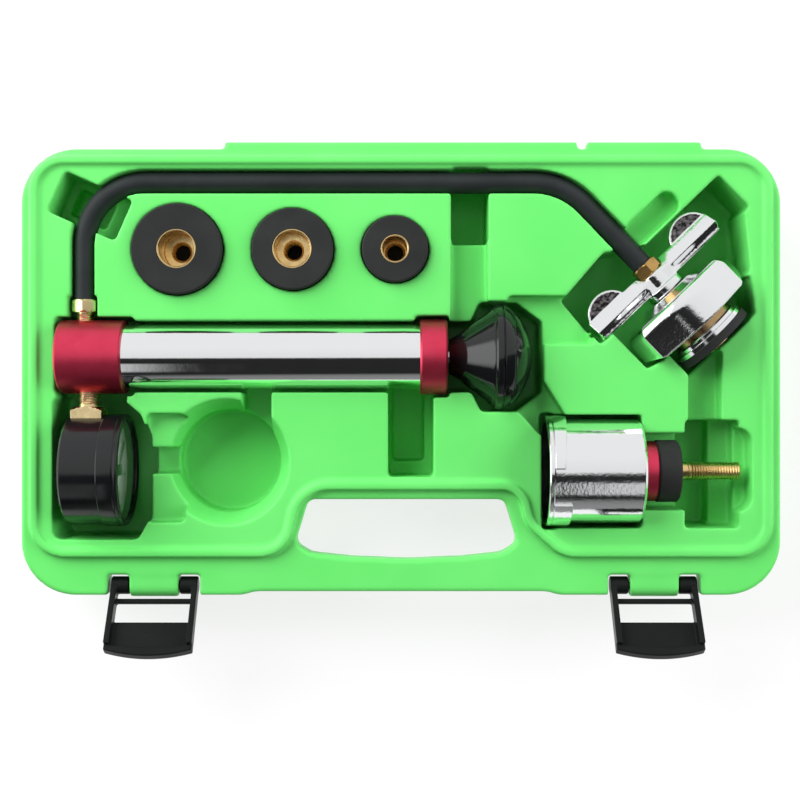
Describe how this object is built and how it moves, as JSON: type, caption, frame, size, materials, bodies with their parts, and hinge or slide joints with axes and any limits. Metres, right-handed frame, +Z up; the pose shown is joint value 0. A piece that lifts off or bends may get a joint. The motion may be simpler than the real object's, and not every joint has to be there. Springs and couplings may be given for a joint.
{
  "type": "radiator pressure tester",
  "caption": "Hand-pump pressure tester with gauge, hose, filler-cap and filler-neck adapters and rubber plugs, laid out in a moulded case base.",
  "frame": {"origin": "centre of the flat underside of the case base", "axes": "+X along the pump from its head to its knob, +Y from the handle side to the hinge side, +Z up"},
  "size_m": [0.4204, 0.2841, 0.07],
  "materials": {
    "case_green": "moulded satin",
    "black_plastic": "moulded gloss",
    "latch_black": "moulded satin",
    "red_anodised": "anodised satin",
    "chrome_plate": "polished",
    "brass": "machined",
    "bronze": "pressed",
    "black_enamel": "gloss",
    "clear_lens": "clear",
    "dial_white": "matte",
    "needle_black": "matte",
    "steel": "turned",
    "rubber_black": "matte",
    "white_plastic": "turned"
  },
  "bodies": {
    "case": {"case_tray": "case_green"},
    "latch_left": {"latch_left": "latch_black"},
    "latch_right": {"latch_right": "latch_black"},
    "tester": {"pump_head": "red_anodised", "valve_seat": "brass", "tube_washer": "rubber_black", "pump_tube": "chrome_plate", "end_cap": "red_anodised", "rod_bush": "white_plastic", "gauge_stem": "brass", "gauge_case": "black_enamel", "gauge_bezel": "black_enamel", "gauge_lens": "clear_lens", "gauge_dial": "dial_white", "gauge_bourdon": "bronze", "gauge_movement": "brass"},
    "check_valve": {"check_ball": "steel", "check_spring": "steel"},
    "plunger": {"piston_rod": "steel", "piston": "white_plastic", "piston_seal": "rubber_black", "knob": "black_plastic"},
    "gauge_needle": {"gauge_needle": "needle_black"},
    "gauge_sector": {"gauge_sector": "brass"},
    "hose_set": {"hose_nipple_head": "brass", "hose": "rubber_black", "hose_nipple_cap": "brass", "cap_spindle": "brass", "cap_retainer": "brass"},
    "cap_clamp": {"wing_handle": "chrome_plate", "cap_shell": "chrome_plate"},
    "cap_plate": {"spring_cup": "bronze", "cap_spring": "steel", "seal_plate": "chrome_plate", "cap_seal": "rubber_black"},
    "neck_adapter": {"neck_cup": "chrome_plate", "neck_collar": "red_anodised", "neck_bung": "rubber_black", "neck_stud": "brass", "neck_nut": "brass"},
    "stopper_large": {"stopper_large": "rubber_black", "insert_large": "brass"},
    "stopper_medium": {"stopper_medium": "rubber_black", "insert_medium": "brass"},
    "stopper_small": {"stopper_small": "rubber_black", "insert_small": "brass"}
  },
  "joints": [
    {"name": "latch_left_swing", "type": "hinge", "parent": "case", "child": "latch_left", "pos_m": [-0.137, -0.1188, 0.0376], "axis": [1, 0, 0], "range_deg": [-54, 90]},
    {"name": "latch_right_swing", "type": "hinge", "parent": "case", "child": "latch_right", "pos_m": [0.1405, -0.1188, 0.0376], "axis": [1, 0, 0], "range_deg": [-54, 90]},
    {"name": "tester_lift", "type": "slide", "parent": "case", "child": "tester", "axis": [0, 0, 1], "range_m": [0, 0.4]},
    {"name": "check_valve_lift", "type": "slide", "parent": "tester", "child": "check_valve", "axis": [-1, 0, 0], "range_m": [0, 0.0008], "stiffness_N_per_m": 60},
    {"name": "plunger_stroke", "type": "slide", "parent": "tester", "child": "plunger", "axis": [1, 0, 0], "range_m": [0, 0.125]},
    {"name": "gauge_needle_turn", "type": "hinge", "parent": "tester", "child": "gauge_needle", "pos_m": [-0.1844, -0.0544, 0.039], "axis": [-1, 0, 0], "range_deg": [0, 270]},
    {"name": "gauge_sector_turn", "type": "hinge", "parent": "tester", "child": "gauge_sector", "pos_m": [-0.1844, -0.0544, 0.0224], "axis": [-1, 0, 0], "range_deg": [-28, 0]},
    {"name": "hose_swing", "type": "hinge", "parent": "tester", "child": "hose_set", "pos_m": [-0.1758, 0.036, 0.039], "axis": [0, 1, 0], "range_deg": [-70.5, 0]},
    {"name": "cap_clamp_turn", "type": "hinge", "parent": "hose_set", "child": "cap_clamp", "pos_m": [0.1343, 0.0596, 0.039], "axis": [0.6947, -0.7193, 0], "range_deg": [-25, 25]},
    {"name": "cap_plate_press", "type": "slide", "parent": "hose_set", "child": "cap_plate", "axis": [-0.6947, 0.7193, 0], "range_m": [0, 0.004], "stiffness_N_per_m": 800},
    {"name": "neck_adapter_lift", "type": "slide", "parent": "case", "child": "neck_adapter", "axis": [0, 0, 1], "range_m": [0, 0.12]},
    {"name": "stopper_large_lift", "type": "slide", "parent": "case", "child": "stopper_large", "axis": [0, 0, 1], "range_m": [0, 0.06]},
    {"name": "stopper_medium_lift", "type": "slide", "parent": "case", "child": "stopper_medium", "axis": [0, 0, 1], "range_m": [0, 0.06]},
    {"name": "stopper_small_lift", "type": "slide", "parent": "case", "child": "stopper_small", "axis": [0, 0, 1], "range_m": [0, 0.06]}
  ],
  "couplings": [
    {"joint": "plunger_stroke", "follows": "tester_lift", "ratio": 0.3125},
    {"joint": "hose_swing", "follows": "tester_lift", "rad_per_m": -3.0543},
    {"joint": "gauge_sector_turn", "follows": "gauge_needle_turn", "ratio": -0.1}
  ]
}
